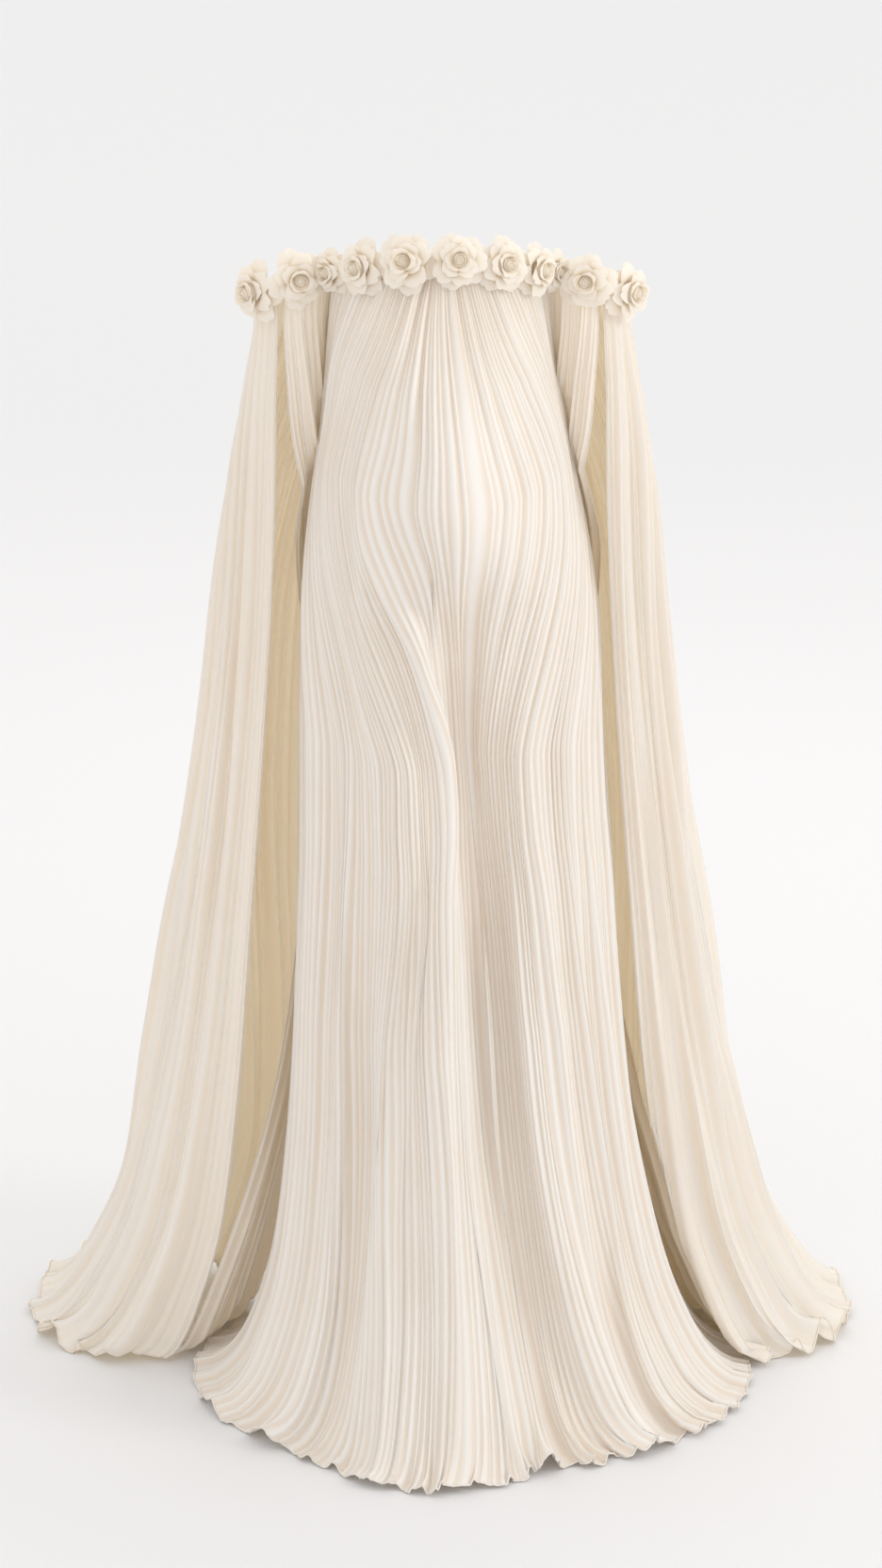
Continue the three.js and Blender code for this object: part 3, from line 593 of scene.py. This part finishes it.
# A gathered band: a rounded strap along its line, ruched by ripples of random size round it
bands = {
    "band_front": ("torso", 180, 360, 0.42), "band_back": ("torso", 0, 180, 0.4),
    "band_right_arm": ("rightArm", 0, 360, 0.32), "band_left_arm": ("leftArm", 0, 360, 0.32),
}
for seed, (node, (ring, low, high, cut)) in enumerate(bands.items()):
    rng = np.random.default_rng(60 + seed)
    turns = np.linspace(low, high, 241)
    places = [ringPlace(ring, angle) for angle in turns]
    line = np.array([at for at, _ in places])
    away = np.array([out for _, out in places])
    around = np.linspace(0, 2 * np.pi, 15)[None, :]
    t = np.linspace(0, 1, 241)[:, None]
    ripple = 1 + 0.16 * wander(t, t * 0, rng, 30, 70, 5, 0) * (np.sin(np.pi * t) ** 0.3)
    thick = 0.00135 * np.sign(np.cos(around)) * np.abs(np.cos(around)) ** 0.7 * ripple
    tall = bandHalf * np.sign(np.sin(around)) * np.abs(np.sin(around)) ** 0.7 * (1 + 0.2 * (ripple - 1))
    points = line[:, None] + thick[..., None] * away[:, None] + tall[..., None] * np.array([0, 0, 1.0])
    points[..., 2] += seamGap + bandHalf
    if node == "band_front":
        points[..., 1] = np.minimum(points[..., 1], -seamGap / 2)
    if node == "band_back":
        points[..., 1] = np.maximum(points[..., 1], seamGap / 2)
    run = np.concatenate([[0], np.cumsum(np.linalg.norm(np.diff(line, axis=0), axis=1))])
    flat = np.stack(np.broadcast_arrays(run[:, None], 0.0055 * around), axis=-1)
    # Painted shade: the tone is lighter where the ruching swells and darker where it sinks
    tone = np.clip(0.55 + 1.6 * (ripple - 1) + 0 * around, 0, 1)
    piece = gridObject(node + "_cloth", points, tone, flat, flip=True)
    piece.data.materials.append(sleeveCloth)
    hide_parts(node)
    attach(piece, "root")
print("bands made")

# Rounds of petals: how many, their first turn, and their reach and height at base and tip as shares of
# the rose's radius, with how far the lip curls out and drops, and half their width in degrees
petalRounds = [
    dict(count=5, turn=0, low=0.2, far=0.9, sink=0.0, top=0.34, curl=0.2, drop=0.24, half=50),
    dict(count=5, turn=36, low=0.2, far=0.76, sink=0.06, top=0.62, curl=0.2, drop=0.2, half=52),
    dict(count=4, turn=10, low=0.18, far=0.54, sink=0.14, top=0.82, curl=0.17, drop=0.14, half=62),
    dict(count=3, turn=50, low=0.16, far=0.35, sink=0.24, top=0.94, curl=0.12, drop=0.07, half=82),
]


# One petal as a grid: it rises as a sine, spreads by its reach, narrows to its base and rounds to its tip,
# and its lip curls out and drops by the square of the way past three quarters
def petal(ring, turn, radius, rng):
    v = np.linspace(0, 1, 11)[:, None]
    w = np.linspace(-1, 1, 13)[None, :]
    narrow = np.sqrt(np.sin(np.pi * (0.14 + 0.72 * v)))
    reach = v * (1 - 0.2 * w ** 2 - 0.05 * np.exp(-((w / 0.16) ** 2)) * v)
    lip = np.clip((reach - 0.68) / 0.32, 0, 1) ** 2
    angle = np.radians(turn + ring["half"] * w * narrow)
    wobble = rng.uniform(0, 6.3)
    r = ring["low"] + (ring["far"] - ring["low"]) * reach ** 1.15 + ring["curl"] * lip
    r = r + 0.05 * np.abs(w) ** 3 * v + 0.015 * np.sin(4 * w + wobble) * v
    z = ring["sink"] + (ring["top"] - ring["sink"]) * np.sin(np.pi / 2 * reach) ** 0.9 - ring["drop"] * lip
    z = z - 0.035 * np.abs(w) ** 3 * v + 0.03 * np.sin(3.1 * w + wobble) * v ** 2
    points = radius * np.stack([r * np.cos(angle), r * np.sin(angle), z + 0 * w], axis=-1)
    # Painted shade: the tone is darker towards the petal's base, deep in the rose, and its lip is lighter, a
    # painted highlight
    tone = np.clip(0.25 + 0.55 * reach + 0.2 * lip, 0, 1)
    flat = np.stack(np.broadcast_arrays(radius * w * 0.7, radius * v), axis=-1)
    return points, tone, flat


# The bud: a strip wound in a spiral that tightens and rises to its middle
def bud(radius):
    t = np.linspace(0, 1, 64)[None, :]
    v = np.linspace(0, 1, 7)[:, None]
    angle = 2 * np.pi * 2.3 * t
    r = (0.3 - 0.25 * t) * (0.72 + 0.28 * v) + 0.03 * v ** 4
    z = 0.45 + (0.5 + 0.04 * np.sin(3 * angle) + 0.1 * t) * v
    points = radius * np.stack([r * np.cos(angle), r * np.sin(angle), z], axis=-1)
    flat = np.stack(np.broadcast_arrays(radius * 1.5 * t, radius * 0.6 * v), axis=-1)
    # Painted shade: the tone is darker low in the spiral
    return points, np.clip(0.1 + 0.8 * v ** 1.5 + 0 * t, 0, 1), flat


# The rose's heart: a small dome under the bud's spiral, its height falling by the square of the way out
def heart(radius):
    v = np.linspace(0, 1, 7)[:, None]
    w = np.linspace(0, 2 * np.pi, 17)[None, :]
    r = 0.34 * v + 0 * w
    points = radius * np.stack([r * np.cos(w), r * np.sin(w), 0.96 - 0.4 * v ** 2 + 0 * w], axis=-1)
    flat = np.stack(np.broadcast_arrays(radius * w, radius * 0.3 * v), axis=-1)
    # Painted shade: the tone is darker towards the heart's rim, low under the spiral
    return points, 0.8 - 0.3 * v + 0 * w, flat


# Each rose: its ring, its angle there, its size, its turn, how far it looks up and how far aside, in degrees
roses = [
    ("rightArm", 221, 0.98, 10, 4, 12), ("rightArm", 279, 0.9, 48, 6, 0),
    ("torso", 205, 0.68, 95, 2, 24), ("torso", 230.5, 0.92, 20, 9, 0), ("torso", 254, 1.0, 64, 18, 0),
    ("torso", 277.6, 0.97, 33, 20, 0), ("torso", 300, 0.92, 80, 15, 0), ("torso", 320.5, 0.82, 12, 6, 0),
    ("torso", 339, 0.54, 55, 2, 22), ("leftArm", 264, 0.9, 5, 5, 0), ("leftArm", 321, 0.97, 70, 3, 12),
]
# The least and the most that a petal's measures are multiplied by
petalSpread = [("far", 0.93, 1.05), ("top", 0.93, 1.05), ("curl", 0.5, 1.3), ("half", 0.92, 1.08)]
# In metres: a full rose's radius and the depth of its solid, how much of that sits in the curve of the band,
# and half the band's thickness
rose = {"radius": 0.0345, "deep": 0.027, "seated": 0.24, "bandThick": 0.0013}
for number, (ring, angle, size, turn, lookUp, aside) in enumerate(roses, start=1):
    rng = np.random.default_rng(100 + number)
    radius = rose["radius"] * (0.42 + 0.58 * size)
    at, away = ringPlace(ring, angle)
    swing = -math.radians(aside) * np.sign(away[0])
    look = np.array([away[0] * math.cos(swing) - away[1] * math.sin(swing),
                     away[0] * math.sin(swing) + away[1] * math.cos(swing), math.tan(math.radians(lookUp))])
    look /= np.linalg.norm(look)
    seat = rose["seated"] * rose["deep"] * size * math.sin(math.acos(min(1, look @ away)))
    middle = at + away * (rose["bandThick"] + seamGap + seat) + [0, 0, seamGap + bandHalf]
    right = np.cross([0, 0, 1], look)
    right /= np.linalg.norm(right)
    axes = np.stack([right, np.cross(look, right), look])
    grids = []
    for layer in petalRounds:
        for i in range(layer["count"]):
            own = dict(layer)
            for measure, least, most in petalSpread:
                own[measure] = layer[measure] * rng.uniform(least, most)
            faces = turn + layer["turn"] + 360 * i / layer["count"] + rng.uniform(-7, 7)
            grids.append(petal(own, faces, radius, rng))
    grids += [bud(radius), heart(radius)]
    parts, quads, tones, flatMaps, start = [], [], [], [], 0
    for points, tone, flat in grids:
        rows, columns = points.shape[:2]
        quads.append(gridQuads(rows, columns, start))
        parts.append(points.reshape(-1, 3) @ axes + middle)
        tones.append(tone.ravel())
        flatMaps.append(flat.reshape(-1, 2))
        start += rows * columns
    piece = meshObject(f"rose_{number:02d}_petals", np.concatenate(parts), np.concatenate(quads),
                       np.concatenate(tones), np.concatenate(flatMaps))
    piece.data.materials.append(roseCloth)
    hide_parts(f"rose_{number:02d}")
    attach(piece, "root")
print("roses made")

# A pale floor so wide that it fills the picture: it gets a little paler up to where it is lit no more
studio = {"reach": 16.0, "lit": 6.0, "near": (0.85, 0.853, 0.872), "far": (0.885, 0.89, 0.908)}
edge = (-studio["reach"], studio["reach"])
points = np.array([[[x, y, floorZ] for x in edge] for y in edge])
floorSheet = gridObject("studio_floor", points, np.ones(points.shape[:2]), points[..., :2], flip=True)
paper = Shader("studio paper")
away = paper.node("SeparateXYZ", {"Vector": paper.node("TexCoord", take=3)}, take=1) * (1 / studio["lit"])
pale = paper.blend(away, colour(*studio["near"]), colour(*studio["far"]))
paper.node("OutputMaterial", {
    "Surface": paper.node("BsdfPrincipled", {"Base Color": pale, "Roughness": 0.85}),
})
floorSheet.data.materials.append(paper.material)

# Even light all round
world = bpy.data.worlds.new("studio")
world.use_nodes = True
world.node_tree.nodes["Background"].inputs[0].default_value = (1.0, 0.985, 0.965, 1.0)
world.node_tree.nodes["Background"].inputs[1].default_value = 0.975
bpy.context.scene.world = world


# A lamp with a lit rectangle, turned from its place to its aim
def softbox(name, place, aim, width, height, power, tint=(1, 1, 1)):
    light = bpy.data.lights.new(name, "AREA")
    light.shape = "RECTANGLE"
    light.size, light.size_y, light.energy, light.color = width, height, power, tint
    lamp = bpy.data.objects.new(name, light)
    lamp.location = place
    lamp.rotation_euler = (Vector(aim) - Vector(place)).to_track_quat("-Z", "Y").to_euler()
    bpy.context.scene.collection.objects.link(lamp)


softbox("key", (4.3, -1.5, 1.6), (0, 0, -0.6), 1.2, 2.0, 46, (1.0, 0.985, 0.965))
softbox("rear", (0.3, 2.5, 0.9), (0, 0.2, -0.8), 3.0, 1.8, 8, (1.0, 0.96, 0.9))

scene = bpy.context.scene
scene.view_settings.view_transform = "Standard"
scene.view_settings.look = "None"
scene.view_settings.exposure = 0.0
print("studio made")
